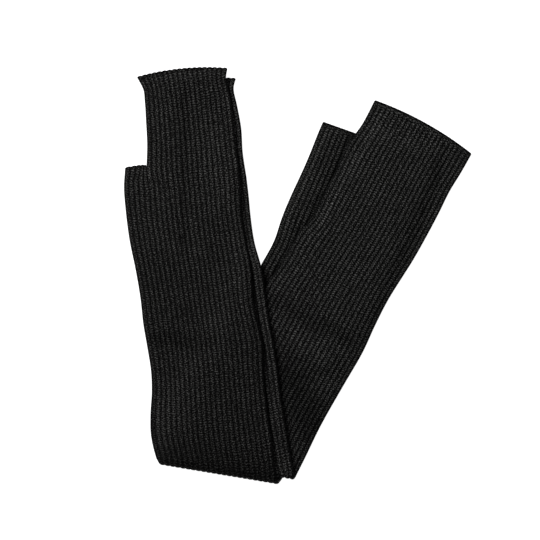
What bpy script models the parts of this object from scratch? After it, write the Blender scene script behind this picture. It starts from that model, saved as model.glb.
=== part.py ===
"""A pair of long rib-knitted arm warmers, laid flat one on the other and folded together into a V.

Each arm warmer is one flattened tube of cloth, open at the hand, at the thumb and at the upper arm.
The tables are in millimetres and Blender's scene is in metres. +Z is up and +Y is the top of the V.
"""

import math
from functools import partial

import bmesh
import bpy
import numpy as np

MM = 0.001

# Driving sizes of the knitted tube
RIBS = 23              # ribs across one face of the flat tube
THUMB_RIBS = 5         # ribs beside the seam edge that end early, at the thumb opening
WALL = 1.8             # thickness of the cloth at the top of a rib
RELIEF = 0.7           # height of a rib above the groove beside it
SLIT = 0.4             # space between the two faces inside the tube
GAP = 0.4              # space between one tube and the next
TUBE = 2 * WALL + SLIT
LAYER = TUBE + GAP

# How the cloth above comes down beside the edge of a lower layer
LEDGE = 3.0            # it stays level this far past the edge
DROOP_REACH = 18.0     # an overhanging edge is down again at this distance
CLIMB_REACH = 38.0     # a hand run that climbs over the arm runs starts at this distance

# The fold
FOLD_LEAN = math.radians(20)   # slant of the ribs where they go round the fold
FOLD_STEPS = 5                 # sections from the upper to the lower side of the fold
FOLD_BLEND = 25.0              # length over which a run meets the curve of its fold

# The thumb opening
THUMB_PULL = (-2.9, 2.0)   # how far the corner of the opening is drawn to the seam and up
THUMB_PULL_REACH = 25.0
CROTCH_ROUND = 0.6     # share of the tube's half thickness just below that corner

# Greatest spacing of the sections that are worked out between those in the tables
FLAT_SPACING = 45.0
CLIMB_SPACING = 14.0   # where the cloth's height over the floor changes along the run
LEVEL_CHANGE = 0.4

# The flat underside and the hidden inside have one column of faces to this many ribs
PLAIN_STEP = 2

# The rounded side of the flat tube: a shoulder this many ribs from it, at this share of full height
SHOULDER = 0.25
SHOULDER_HEIGHT = 0.85
RIDGE = 0.5            # a rib's top, counted in ribs from the groove beside it

SURVEY_POINTS = 9      # points across a section where its height over the floor is compared
WELD = 0.00001         # points of the mesh this close, in metres, are one point
SHARP_EDGE = math.radians(40)
ROUGHNESS = 0.9

# Middle of the pair's footprint in the frame of the tables
FOOTPRINT_CENTRE = (0.75, -0.33)

# Columns of every table of sections: the ends of a line across the tube, at its seam edge and at
# its far edge, and how far the middle of that line lies ahead, towards the open end.
# A hand section covers the ribs beyond the thumb opening only.
OUTER_HAND_SECTION = (
    # seam_x, seam_y, far_x, far_y, bow
    (-142.5, 178.5, -62.0, 186.3, 3.8),
    (-138.5, 168.5, -63.5, 177.5, 2.5),
    (-136.7, 156.5, -60.0, 161.0, 1.0),
    (-135.5, 137.5, -57.5, 139.5, 0.0),
    (-134.5, 116.0, -55.0, 117.0, 0.0),
)
OUTER_HAND_RUN = (
    # seam_x, seam_y, far_x, far_y, bow
    (-154.0, 96.0, -52.5, 97.0, 0.0),
    (-155.0, 79.0, -51.0, 79.0, 0.0),
    (-153.5, 58.5, -50.0, 57.5, 0.0),
    (-150.0, 31.5, -46.0, 30.5, 0.0),
    (-144.5, 4.5, -41.0, 4.5, 0.0),
    (-140.0, -22.5, -39.0, -24.5, 0.0),
    (-137.5, -45.0, -34.5, -46.0, 0.0),
    (-134.2, -64.0, -31.0, -62.0, 0.0),
    (-130.8, -85.5, -30.5, -82.0, 0.0),
    (-130.0, -105.5, -28.5, -105.5, 0.0),
    (-131.2, -126.0, -26.5, -127.0, 0.0),
    (-130.6, -145.0, -23.0, -149.5, 0.0),
)
OUTER_ARM_RUN = (
    # seam_x, seam_y, far_x, far_y, bow
    (-87.0, -104.5, 16.0, -126.0, 0.0),
    (-65.0, -61.0, 36.5, -89.0, 0.0),
    (-31.5, 9.0, 63.0, -25.0, 0.0),
    (-19.5, 31.5, 74.0, -2.5, 0.0),
    (-13.5, 49.5, 81.5, 14.5, 0.0),
    (12.0, 108.0, 106.5, 74.0, 0.0),
    (21.0, 130.5, 115.0, 96.5, 0.0),
    (22.5, 138.5, 117.5, 105.0, 0.0),
)
INNER_HAND_SECTION = (
    # seam_x, seam_y, far_x, far_y, bow
    (-134.5, 170.5, -54.5, 177.3, 3.0),
    (-131.5, 161.0, -56.6, 169.0, 2.0),
    (-129.5, 148.5, -53.5, 153.0, 1.0),
    (-128.5, 130.5, -50.4, 132.5, 0.0),
    (-128.0, 110.0, -49.0, 110.5, 0.0),
)
INNER_HAND_RUN = (
    # seam_x, seam_y, far_x, far_y, bow
    (-147.0, 87.5, -46.0, 88.0, 0.0),
    (-147.0, 71.0, -44.0, 71.0, 0.0),
    (-144.5, 55.0, -42.5, 55.0, 0.0),
    (-140.5, 31.5, -39.0, 30.5, 0.0),
    (-134.5, 4.5, -32.0, 4.5, 0.0),
    (-129.5, -22.5, -28.0, -24.5, 0.0),
    (-126.5, -45.0, -24.5, -46.0, 0.0),
    (-123.5, -64.0, -21.5, -62.0, 0.0),
    (-119.5, -85.5, -18.5, -82.0, 0.0),
    (-117.5, -105.5, -15.5, -105.5, 0.0),
    (-116.0, -126.0, -12.0, -127.0, 0.0),
    (-113.5, -144.0, -8.5, -149.5, 0.0),
)
INNER_ARM_RUN = (
    # seam_x, seam_y, far_x, far_y, bow
    (-96.0, -146.0, 7.0, -166.5, 0.0),
    (-79.0, -111.5, 21.5, -137.0, 0.0),
    (-58.0, -69.5, 42.0, -99.5, 0.0),
    (-40.0, -33.5, 59.7, -67.5, 0.0),
    (-27.0, -9.0, 70.0, -45.0, 0.0),
    (-11.0, 14.0, 81.5, -22.5, 0.0),
    (3.0, 39.0, 95.5, 0.0, 0.0),
    (14.0, 51.0, 102.8, 11.5, 0.0),
    (25.5, 74.0, 114.8, 32.5, 0.0),
    (37.5, 97.5, 127.3, 56.0, 0.0),
    (48.0, 119.5, 137.5, 76.5, 0.0),
    (59.6, 136.0, 147.0, 92.0, 0.0),
    (70.5, 157.0, 156.5, 109.0, 3.8),
)

# Each warmer: its tables, the line of its fold as seen from above, how many layers lie between
# the upper and the lower side of that fold, and the ribs that show on each run's upper face.
WARMERS = {
    "arm_warmer_outer": dict(
        hand_section=OUTER_HAND_SECTION, hand_run=OUTER_HAND_RUN, arm_run=OUTER_ARM_RUN,
        fold_line=(-126.6, -170.3, -20.6, -187.9), layers_round_fold=3,
        hand_ribs=(0, RIBS), arm_ribs=(0, 9), colour=(0.0105, 0.0105, 0.0100)),
    "arm_warmer_inner": dict(
        hand_section=INNER_HAND_SECTION, hand_run=INNER_HAND_RUN, arm_run=INNER_ARM_RUN,
        fold_line=(-107.0, -166.5, -4.0, -184.1), layers_round_fold=1,
        hand_ribs=(15, RIBS), arm_ribs=(0, RIBS), colour=(0.0115, 0.0115, 0.0110)),
}

# The runs from the lowest to the highest
STACK = (
    ("arm_warmer_outer", "arm"),
    ("arm_warmer_inner", "arm"),
    ("arm_warmer_inner", "hand"),
    ("arm_warmer_outer", "hand"),
)


def smooth_step(value):
    """Go smoothly from 0 to 1 while value does."""
    value = np.clip(value, 0.0, 1.0)
    return value * value * (3 - 2 * value)


def across(section, share):
    """Give the points at each share of the way from the seam edge to the far edge."""
    seam, far, bow = section[0:2], section[2:4], section[4]
    line = far - seam
    ahead = np.array([-line[1], line[0]]) / np.linalg.norm(line)
    share = np.asarray(share, float)[:, None]
    return seam + line * share + ahead * (bow * 4 * share * (1 - share))


class Run:
    """A stretch of flat tube that lies in one direction, given by a table of sections."""

    def __init__(self, sections):
        self.rows = np.array(sections, float)
        middles = (self.rows[:, 0:2] + self.rows[:, 2:4]) / 2
        steps = np.linalg.norm(np.diff(middles, axis=0), axis=1)
        self.stations = np.concatenate([[0.0], np.cumsum(steps)])
        slopes = np.diff(self.rows, axis=0) / steps[:, None]
        before, after = steps[:-1, None], steps[1:, None]
        inner = (slopes[:-1] * after + slopes[1:] * before) / (before + after)
        self.tangents = np.vstack([slopes[:1], inner, slopes[-1:]])

    def section(self, station):
        """Read the smooth curve through the table's rows at a distance along the run."""
        last = len(self.stations) - 2
        i = int(np.clip(np.searchsorted(self.stations, station, side="right") - 1, 0, last))
        span = self.stations[i + 1] - self.stations[i]
        t = (station - self.stations[i]) / span
        return ((2 * t**3 - 3 * t**2 + 1) * self.rows[i]
                + (t**3 - 2 * t**2 + t) * span * self.tangents[i]
                + (3 * t**2 - 2 * t**3) * self.rows[i + 1]
                + (t**3 - t**2) * span * self.tangents[i + 1])

    def width(self, station):
        """Measure the distance from the seam edge to the far edge."""
        section = self.section(station)
        return np.linalg.norm(section[2:4] - section[0:2])

    def outline(self, before=(), after=()):
        """Give the run's outline from above.

        before and after are each a pair of corners beyond the run's first and last section.
        """
        seam_edge = [*before[:1], *self.rows[:, 0:2], *after[:1]]
        far_edge = [*before[1:], *self.rows[:, 2:4], *after[1:]]
        return np.array(seam_edge + far_edge[::-1])


def distance_outside(points, outline):
    """Measure how far each point lies outside a closed outline, 0 inside it."""
    start = outline
    step = np.roll(outline, -1, axis=0) - outline
    offset = points[:, None, :] - start[None, :, :]
    length = (step**2).sum(axis=1)
    share = np.clip((offset * step).sum(axis=2) / length, 0, 1)
    nearest = np.linalg.norm(offset - share[:, :, None] * step, axis=2).min(axis=1)
    end_y = start[:, 1] + step[:, 1]
    spans = (start[:, 1] > points[:, 1:2]) != (end_y > points[:, 1:2])
    rise = np.where(step[:, 1] == 0, 1.0, step[:, 1])
    crossing = start[:, 0] + (points[:, 1:2] - start[:, 1]) / rise * step[:, 0]
    inside = (spans & (points[:, 0:1] < crossing)).sum(axis=1) % 2 == 1
    return np.where(inside, 0.0, nearest)


class Warmer:
    """The place of every point of one folded arm warmer."""

    def __init__(self, name, sizes, outlines):
        self.name = name
        self.sizes = sizes
        self.outlines = outlines
        seam, far = np.array(sizes["fold_line"][0:2]), np.array(sizes["fold_line"][2:4])
        along = (far - seam) / np.linalg.norm(far - seam)
        self.outward = np.array([along[1], -along[0]])
        self.full_radius = sizes["layers_round_fold"] * LAYER / 2
        slide = along * math.pi * self.full_radius * math.tan(FOLD_LEAN)
        inset = self.outward * (self.full_radius + TUBE / 2)
        self.hand_fold = np.concatenate([seam - inset, far - inset, [0.0]])
        self.arm_fold = np.concatenate([seam - inset + slide, far - inset + slide, [0.0]])
        self.hand = Run(list(sizes["hand_run"]) + [self.hand_fold])
        self.arm = Run([self.arm_fold] + list(sizes["arm_run"]))
        crotch = self.flat_place("hand", 0.0, [THUMB_RIBS / RIBS])[0]
        notch = [*crotch, *sizes["hand_run"][0][2:4], 0.0]
        self.hand_section = Run(list(sizes["hand_section"]) + [notch])
        outlines[(name, "hand")] = self.hand.outline(after=(seam, far))
        outlines[(name, "arm")] = self.arm.outline(before=(seam + slide, far + slide))
        outlines[(name, "hand section")] = self.hand_section.outline()

    def flat_place(self, side, station, share):
        """Give points across a run in the flat, before the fold's curve is added."""
        run = self.hand if side == "hand" else self.arm
        section = run.section(station)
        points = across(section, share)
        if side == "hand":
            corner = THUMB_RIBS / RIBS
            share = np.asarray(share)
            weight = np.where(share < corner, share / corner, (1 - share) / (1 - corner))
            fade = 1 - smooth_step(station / THUMB_PULL_REACH)
            points += fade * weight[:, None] * THUMB_PULL
        return points

    def lift(self, side, points):
        """Measure how high the cloth lies above the floor, on the runs that are under it."""
        total = np.zeros(len(points))
        for name, lower_side in STACK[:STACK.index((self.name, side))]:
            reach = DROOP_REACH if side == lower_side else CLIMB_REACH
            away = distance_outside(points, self.outlines[(name, lower_side)])
            if lower_side == "hand":
                above = distance_outside(points, self.outlines[(name, "hand section")])
                away = np.minimum(away, above)
            total += LAYER * (1 - smooth_step((away - LEDGE) / (reach - LEDGE)))
        return total

    def stations(self, side):
        """List where a run's sections stand: close together only where the cloth rises or falls."""
        run = self.hand if side == "hand" else self.arm
        shares = np.linspace(0, 1, SURVEY_POINTS)
        found = [0.0]
        for low, high in zip(run.stations[:-1], run.stations[1:]):
            levels = [self.lift(side, self.flat_place(side, at, shares)) for at in (low, high)]
            change = np.abs(levels[1] - levels[0]).max()
            spacing = CLIMB_SPACING if change > LEVEL_CHANGE else FLAT_SPACING
            count = math.ceil((high - low) / spacing)
            found.extend(np.linspace(low, high, count + 1)[1:])
        return found

    def fold_radius(self, share):
        """Give the radius of the fold's middle, smaller where fewer layers lie inside it."""
        upper = self.lift("hand", across(self.hand_fold, share))
        lower = self.lift("arm", across(self.arm_fold, share))
        return (upper - lower) / 2, lower

    def place(self, side, station, share, height):
        """Give points of a run. height is measured from the tube's middle to its front face."""
        points = self.flat_place(side, station, share)
        from_fold = self.hand.stations[-1] - station if side == "hand" else station
        blend = 1 - smooth_step(from_fold / FOLD_BLEND)
        if blend > 0:
            radius, _ = self.fold_radius(share)
            points = points + self.outward * ((self.full_radius - radius) * blend)[:, None]
        sign = 1 if side == "hand" else -1
        level = self.lift(side, points) + TUBE / 2 + sign * np.asarray(height)
        return np.column_stack([points, level])

    def place_in_section(self, station, share, height):
        """Give points of the hand section, whose share runs from the thumb corner to the far edge."""
        corner = THUMB_RIBS / RIBS
        points = across(self.hand_section.section(station), (np.asarray(share) - corner) / (1 - corner))
        level = self.lift("hand", points) + TUBE / 2 + np.asarray(height)
        return np.column_stack([points, level])

    def place_in_fold(self, angle, share, height):
        """Give points round the fold. The angle is 0 at its upper and pi at its lower side."""
        turned = angle / math.pi
        axis = across(self.hand_fold * (1 - turned) + self.arm_fold * turned, share)
        radius, lower = self.fold_radius(share)
        reach = radius + np.asarray(height)
        outward = (self.full_radius - radius) + reach * math.sin(angle)
        points = axis + self.outward * outward[:, None]
        level = TUBE / 2 + lower + radius + reach * math.cos(angle)
        return np.column_stack([points, level])


def rib_marks(first, raised):
    """List places across one face, counted in ribs: both sides, their shoulders and the ribs.

    Within the raised ribs there is a place at each rib's top and each groove.
    """
    marks = {first, first + SHOULDER, first + RIDGE, RIBS - RIDGE, RIBS - SHOULDER, RIBS}
    marks.update(range(1, RIBS, PLAIN_STEP))
    marks.update(half / 2 for half in range(2 * raised[0] + 1, 2 * raised[1]))
    return sorted(mark for mark in marks if first <= mark <= RIBS)


def rib_height(mark, first, raised, relief):
    """Give the height of the cloth's outside over the tube's middle at a place across one face."""
    from_side = min(mark - first, RIBS - mark)
    if from_side == 0:
        return 0.0
    if from_side == SHOULDER:
        return SHOULDER_HEIGHT * TUBE / 2
    groove = mark == int(mark) and raised[0] < mark < raised[1]
    return TUBE / 2 - (RELIEF * relief if groove else 0.0)


def outer_ring(first, front, back):
    """List a section's outside as (ring mark, share across, height), front face then back face.

    front and back are each the ribs that are raised and how much of their relief they have.
    """
    ring = []
    for mark in rib_marks(first, front[0]):
        ring.append((mark, mark / RIBS, rib_height(mark, first, *front)))
    for mark in rib_marks(first, back[0])[-2::-1]:
        ring.append((2 * RIBS - mark, mark / RIBS, -rib_height(mark, first, *back)))
    return ring


def inner_ring(first, last, width):
    """List a section's inside in the same way, from rib first to rib last.

    width is the tube's own, and gives the share of it that a side wall takes.
    """
    ring = {}
    for mark in [first, *range(1, RIBS, PLAIN_STEP), last]:
        if first <= mark <= last:
            at_side = (mark == first) - (mark == last)
            share = mark / RIBS + at_side * WALL / width
            height = 0.0 if at_side else SLIT / 2
            ring[mark] = (mark, share, height)
            ring[2 * RIBS - mark] = (2 * RIBS - mark, share, -height)
    return [ring[mark] for mark in sorted(ring)]


def pinch(ring, height):
    """Set how far the two faces stay apart at the corner of the thumb opening."""
    corners = {THUMB_RIBS: height, 2 * RIBS - THUMB_RIBS: -height}
    return [(mark, share, corners.get(mark, level)) for mark, share, level in ring]


def add_row(mesh, ring, place):
    """Add a ring's points to the mesh, each with its mark."""
    marks, shares, heights = zip(*ring)
    points = (place(shares, heights) - [*FOOTPRINT_CENTRE, 0.0]) * MM
    return [(mark, mesh.verts.new(point)) for mark, point in zip(marks, points)]


def ladder(mesh, low_row, high_row, span=(0, 2 * RIBS)):
    """Fill the faces between two rows, which may have different marks between the shared ones."""
    low = [(mark, vert) for mark, vert in low_row if span[0] <= mark <= span[1]]
    high = [(mark, vert) for mark, vert in high_row if span[0] <= mark <= span[1]]
    shared = sorted({mark for mark, _ in low} & {mark for mark, _ in high})
    for start, end in zip(shared[:-1], shared[1:]):
        there = [vert for mark, vert in low if start <= mark <= end]
        back = [vert for mark, vert in high if start <= mark <= end]
        mesh.faces.new(there + back[::-1])


def list_sections(warmer):
    """List the tube's sections from the hand's open end to the upper arm's.

    Each has the function that places its points, its first rib, its width over all ribs, and
    what is raised on its front and its back face. The number of the notch's section comes too.
    """
    sizes = warmer.sizes
    plain = ((0, 0), 0.0)
    hand_faces = ((sizes["hand_ribs"], 1.0), plain)
    turn_faces = ((sizes["hand_ribs"], 0.0), (sizes["arm_ribs"], 0.0))
    arm_faces = (plain, (sizes["arm_ribs"], 1.0))
    beyond_thumb = RIBS / (RIBS - THUMB_RIBS)
    sections = []
    for station in warmer.hand_section.stations[:-1]:
        width = warmer.hand_section.width(station) * beyond_thumb
        sections.append((partial(warmer.place_in_section, station), THUMB_RIBS, width, hand_faces))
    notch = len(sections)
    for station in [0.0, WALL, *warmer.stations("hand")[1:]]:
        width = warmer.hand.width(station)
        sections.append((partial(warmer.place, "hand", station), 0, width, hand_faces))
    for step in range(1, FOLD_STEPS + 1):
        place = partial(warmer.place_in_fold, math.pi * step / FOLD_STEPS)
        faces = turn_faces if step == FOLD_STEPS else hand_faces
        sections.append((place, 0, warmer.arm.width(0.0), faces))
    for station in warmer.stations("arm")[1:]:
        width = warmer.arm.width(station)
        sections.append((partial(warmer.place, "arm", station), 0, width, arm_faces))
    return sections, notch


def build_warmer(name, warmer):
    """Loft one arm warmer through its sections, as one closed wall of cloth."""
    mesh = bmesh.new()
    sections, notch = list_sections(warmer)
    outside, inside = [], []
    for number, (place, first, width, faces) in enumerate(sections):
        outer = outer_ring(first, *faces)
        inner = inner_ring(THUMB_RIBS if number <= notch else 0, RIBS, width)
        if number == notch:
            outer = pinch(outer, 0.0)
            thumb_inside = add_row(mesh, inner_ring(0, THUMB_RIBS, width), place)
        elif number == notch + 1:
            outer = pinch(outer, CROTCH_ROUND * TUBE / 2)
            inner = pinch(inner, 0.0)
        outside.append(add_row(mesh, outer, place))
        inside.append(add_row(mesh, inner, place))

    for rows in (outside, inside):
        for low, high in zip(rows[:-1], rows[1:]):
            ladder(mesh, low, high)
    for thumb_face in ((0, THUMB_RIBS), (2 * RIBS - THUMB_RIBS, 2 * RIBS)):
        ladder(mesh, thumb_inside, inside[notch + 1], thumb_face)
        ladder(mesh, thumb_inside, outside[notch], thumb_face)
    ladder(mesh, outside[0], inside[0])
    ladder(mesh, outside[-1], inside[-1])

    bmesh.ops.remove_doubles(mesh, verts=mesh.verts, dist=WELD)
    bmesh.ops.triangulate(mesh, faces=mesh.faces, ngon_method="EAR_CLIP")
    bmesh.ops.recalc_face_normals(mesh, faces=mesh.faces)
    data = bpy.data.meshes.new(name)
    mesh.to_mesh(data)
    mesh.free()
    data.shade_smooth()
    data.set_sharp_from_angle(angle=SHARP_EDGE)
    return bpy.data.objects.new(name, data)


def knit_material(name, colour):
    """Make the plain near-black of the knitted yarn."""
    material = bpy.data.materials.new(name + "_knit")
    material.use_nodes = True
    surface = material.node_tree.nodes["Principled BSDF"]
    surface.inputs["Base Color"].default_value = (*colour, 1.0)
    surface.inputs["Roughness"].default_value = ROUGHNESS
    surface.inputs["Metallic"].default_value = 0.0
    return material


def main():
    """Build the pair in its own collection."""
    for old in list(bpy.data.objects):
        bpy.data.objects.remove(old, do_unlink=True)
    pair = bpy.data.collections.new("arm_warmers")
    bpy.context.scene.collection.children.link(pair)
    outlines = {}
    warmers = {name: Warmer(name, sizes, outlines) for name, sizes in WARMERS.items()}
    for name, warmer in warmers.items():
        knitted = build_warmer(name, warmer)
        knitted.data.materials.append(knit_material(name, warmer.sizes["colour"]))
        pair.objects.link(knitted)


main()
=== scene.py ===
# %% [markdown]
# # A pair of rib-knitted arm warmers, folded into a V
#
# The object is two long knitted tubes. They lie flat, one on the other and a little apart, and are
# folded together once, so that the hand ends and the upper-arm ends point up like the two strokes
# of a V. Each tube is made here as one thin shell of cloth, with raised ribs outside, a plain
# inside, and three open mouths: one for the hand, one for the thumb and one for the upper arm.
#
# Lengths in the tables are in millimetres. The scene is in metres, with +Z up and +Y towards the
# open top of the V. The solid model is loaded first. It says where everything is, and the knitted
# shells take its place.

# %% Load the solid model
import math

import bmesh
import bpy
import numpy as np
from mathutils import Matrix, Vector


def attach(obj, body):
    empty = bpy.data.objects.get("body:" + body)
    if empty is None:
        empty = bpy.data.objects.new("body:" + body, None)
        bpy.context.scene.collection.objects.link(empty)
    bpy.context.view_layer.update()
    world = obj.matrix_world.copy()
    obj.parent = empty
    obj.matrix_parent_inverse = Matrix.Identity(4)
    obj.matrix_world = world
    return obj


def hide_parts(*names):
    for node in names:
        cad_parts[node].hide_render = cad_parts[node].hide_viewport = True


MM = 0.001
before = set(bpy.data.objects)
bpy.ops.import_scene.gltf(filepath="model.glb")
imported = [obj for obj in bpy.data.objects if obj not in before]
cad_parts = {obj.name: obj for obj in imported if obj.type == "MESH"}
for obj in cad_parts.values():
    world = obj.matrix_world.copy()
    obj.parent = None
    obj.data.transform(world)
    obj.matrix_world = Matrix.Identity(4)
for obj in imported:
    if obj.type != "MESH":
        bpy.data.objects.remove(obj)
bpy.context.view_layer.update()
bpy.ops.object.select_all(action="DESELECT")
print("solid nodes:", sorted(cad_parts))

# %% [markdown]
# ## The camera
#
# The pair was photographed lying flat, from straight above. One pixel of that picture covers
# 0.9 mm of the cloth. A long lens, far away, keeps the raised layers where they are in the
# picture, instead of leaning them outwards as a lens close by would.

# %% Camera straight above
PHOTO_PIXELS = 540
PIXEL = 0.9                        # millimetres of cloth that one pixel covers
TABLE_ZERO = (296.5, 275.0)        # the pixel where the tables below have their zero
FOOTPRINT_CENTRE = (0.75, -0.33)   # the middle of the pair, in the frame of the tables
LENS = 500.0
SENSOR = 36.0
MIDDLE_HEIGHT = 9.0                # height above the floor where the picture's scale is true
FAR_LIMIT = 100.0                  # metres; the camera is far away and has to see this far


def table_place(pixel_x, pixel_y):
    """Turn a place in the photograph into millimetres in the frame of the tables."""
    return (pixel_x - TABLE_ZERO[0]) * PIXEL, (TABLE_ZERO[1] - pixel_y) * PIXEL


view_width = PHOTO_PIXELS * PIXEL
centre_x, centre_y = table_place(PHOTO_PIXELS / 2, PHOTO_PIXELS / 2)
camera_data = bpy.data.cameras.new("camera")
camera_data.lens = LENS
camera_data.sensor_width = SENSOR
camera_data.clip_end = FAR_LIMIT
camera = bpy.data.objects.new("camera", camera_data)
bpy.context.scene.collection.objects.link(camera)
camera.location = (
    (centre_x - FOOTPRINT_CENTRE[0]) * MM,
    (centre_y - FOOTPRINT_CENTRE[1]) * MM,
    (MIDDLE_HEIGHT + view_width * LENS / SENSOR) * MM)
bpy.context.scene.camera = camera
print("camera at", [round(value, 4) for value in camera.location])

# %% [markdown]
# ## Floor and light
#
# The picture is a cut-out on pure white, so the floor is a plain pale sheet, lit until it is
# almost white. Near-black wool shows its form only through small differences of light. A large
# soft light hangs above the top of the picture and a little to the left, and a weaker one fills in
# from the other side. A picture of a studio could light it too, but two lamps are enough for so
# plain a light. The colour view is the plain one, so that a dark value stays as it was set.

# %% Floor and lights
FLOOR_SIDE = 12.0
FLOOR_COLOUR = (0.5, 0.5, 0.5)
FLOOR_GLOW = 0.97                  # keeps shadows on the floor pale
AMBIENT = 0.18

bpy.ops.mesh.primitive_plane_add(size=FLOOR_SIDE)
floor = bpy.context.object
floor.name = "floor"
floor_paint = bpy.data.materials.new("floor_paint")
floor_paint.use_nodes = True
floor_surface = floor_paint.node_tree.nodes["Principled BSDF"]
floor_surface.inputs["Base Color"].default_value = (*FLOOR_COLOUR, 1.0)
floor_surface.inputs["Roughness"].default_value = 1.0
floor_surface.inputs["Specular IOR Level"].default_value = 0.0
floor_surface.inputs["Emission Color"].default_value = (1.0, 1.0, 1.0, 1.0)
floor_surface.inputs["Emission Strength"].default_value = FLOOR_GLOW
floor.data.materials.append(floor_paint)

world = bpy.data.worlds.new("studio")
world.use_nodes = True
world.node_tree.nodes["Background"].inputs["Color"].default_value = (1.0, 1.0, 1.0, 1.0)
world.node_tree.nodes["Background"].inputs["Strength"].default_value = AMBIENT
bpy.context.scene.world = world
bpy.context.scene.view_settings.view_transform = "Standard"

LIGHTS = {
    # name: place in metres, side in metres, power in watts
    "key": ((-1.1, 1.45, 1.3), 0.9, 52.0),
    "fill": ((1.4, -0.6, 2.0), 1.6, 4.0),
}
for name, (place, side, power) in LIGHTS.items():
    light_data = bpy.data.lights.new(name, "AREA")
    light_data.shape = "SQUARE"
    light_data.size = side
    light_data.energy = power
    light = bpy.data.objects.new(name, light_data)
    light.location = place
    light.rotation_euler = (-Vector(place)).to_track_quat("-Z", "Y").to_euler()
    light.visible_camera = False
    bpy.context.scene.collection.objects.link(light)
print("lights:", list(LIGHTS))

# %% [markdown]
# ## The knitted tube
#
# Each face of a flat tube has 23 ribs. The cloth is 1.8 mm thick at the top of a rib, and two
# faces with a thin slit between them make the flat tube 4 mm high. One warmer lies 4.4 mm above
# the other, so four layers of tube are stacked where both runs of both warmers cross.
#
# A tube like this could be a cloth simulation that falls and settles. Here its points are worked
# out from a few sizes and tables, which keeps every rib whole and the wall even, and puts each
# edge where the picture has it.

# %% Sizes of the tube
RIBS = 23
THUMB_RIBS = 5           # ribs beside the seam edge that end early, at the thumb opening
WALL = 1.8
RELIEF = 0.95            # depth of a groove between two ribs on a face that shows
PRESSED_RELIEF = 0.3     # and on a face that lies on something
LIP = 0.9                # how far the rounded lip of a mouth reaches out
SLIT = 0.4               # between the two faces of an empty tube
GAP = 0.4                # between two tubes that lie one on the other
TUBE = 2 * WALL + SLIT
HALF = TUBE / 2
LAYER = TUBE + GAP
SIDE_ROUND = 2.0         # radius of the flat tube's rounded sides
RIB_PITCH = 4.4
COURSE = 2.15            # height of one row of stitches
THUMB_CORNER = THUMB_RIBS / RIBS
print("height of one flat tube:", TUBE, "mm, of four layers:", round(4 * LAYER - GAP, 1), "mm")

# %% [markdown]
# ## How the two tubes lie
#
# A table gives a few lines across each flat tube, as seen from above: where the line starts at the
# seam edge, where it ends at the far edge, and how far its middle bows towards the open end. Each
# tube has a hand section beyond the thumb opening, a hand run down to the fold, and an arm run
# that goes up again from the fold. The hand section's lines leave out the five thumb ribs. An
# outline alone could be traced more quickly, but it wouldn't say where the ribs run.

# %% Tables of the outer warmer
OUTER_HAND_SECTION = (
    # seam_x, seam_y, far_x, far_y, bow
    (-144.0, 178.6, -62.0, 186.3, 3.8),
    (-138.5, 168.5, -63.5, 177.5, 2.5),
    (-136.7, 156.5, -60.0, 161.0, 1.0),
    (-135.5, 137.5, -57.5, 139.5, 0.0),
    (-134.5, 116.0, -55.0, 117.0, 0.0),
)
OUTER_HAND_RUN = (
    # seam_x, seam_y, far_x, far_y, bow
    (-154.0, 96.0, -52.5, 97.0, 0.0),
    (-155.0, 79.0, -51.0, 79.0, 0.0),
    (-153.5, 58.5, -50.0, 57.5, 0.0),
    (-150.0, 31.5, -46.0, 30.5, 0.0),
    (-144.5, 4.5, -41.0, 4.5, 0.0),
    (-140.0, -22.5, -39.0, -24.5, 0.0),
    (-137.5, -45.0, -34.5, -46.0, 0.0),
    (-134.2, -64.0, -31.0, -62.0, 0.0),
    (-130.8, -85.5, -30.5, -82.0, 0.0),
    (-130.0, -105.5, -28.5, -105.5, 0.0),
    (-131.2, -126.0, -26.5, -127.0, 0.0),
    (-130.6, -145.0, -23.0, -149.5, 0.0),
)
OUTER_ARM_RUN = (
    # seam_x, seam_y, far_x, far_y, bow
    (-87.0, -104.5, 16.0, -126.0, 0.0),
    (-65.0, -61.0, 36.5, -89.0, 0.0),
    (-31.5, 9.0, 63.0, -25.0, 0.0),
    (-19.5, 31.5, 74.0, -2.5, 0.0),
    (-13.5, 49.5, 81.5, 14.5, 0.0),
    (12.0, 108.0, 106.5, 74.0, 0.0),
    (21.0, 130.5, 115.0, 96.5, 0.0),
    (24.3, 138.0, 117.5, 105.0, 0.0),
)
print("lines across the outer warmer:", len(OUTER_HAND_SECTION + OUTER_HAND_RUN + OUTER_ARM_RUN))

# %% Tables of the inner warmer
INNER_HAND_SECTION = (
    # seam_x, seam_y, far_x, far_y, bow
    (-134.5, 170.5, -54.5, 177.3, 3.0),
    (-131.5, 161.0, -56.6, 169.0, 2.0),
    (-129.5, 148.5, -53.5, 153.0, 1.0),
    (-128.5, 130.5, -49.8, 132.5, 0.0),
    (-128.0, 110.0, -48.4, 110.5, 0.0),
)
INNER_HAND_RUN = (
    # seam_x, seam_y, far_x, far_y, bow
    (-147.0, 87.5, -46.0, 88.0, 0.0),
    (-147.0, 71.0, -44.0, 71.0, 0.0),
    (-144.5, 55.0, -42.5, 55.0, 0.0),
    (-140.5, 31.5, -39.0, 30.5, 0.0),
    (-134.5, 4.5, -32.0, 4.5, 0.0),
    (-129.5, -22.5, -28.0, -24.5, 0.0),
    (-126.5, -45.0, -24.5, -46.0, 0.0),
    (-123.5, -64.0, -21.5, -62.0, 0.0),
    (-119.5, -85.5, -18.5, -82.0, 0.0),
    (-117.5, -105.5, -15.5, -105.5, 0.0),
    (-116.0, -126.0, -12.0, -127.0, 0.0),
    (-113.5, -144.0, -8.5, -149.5, 0.0),
)
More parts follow.
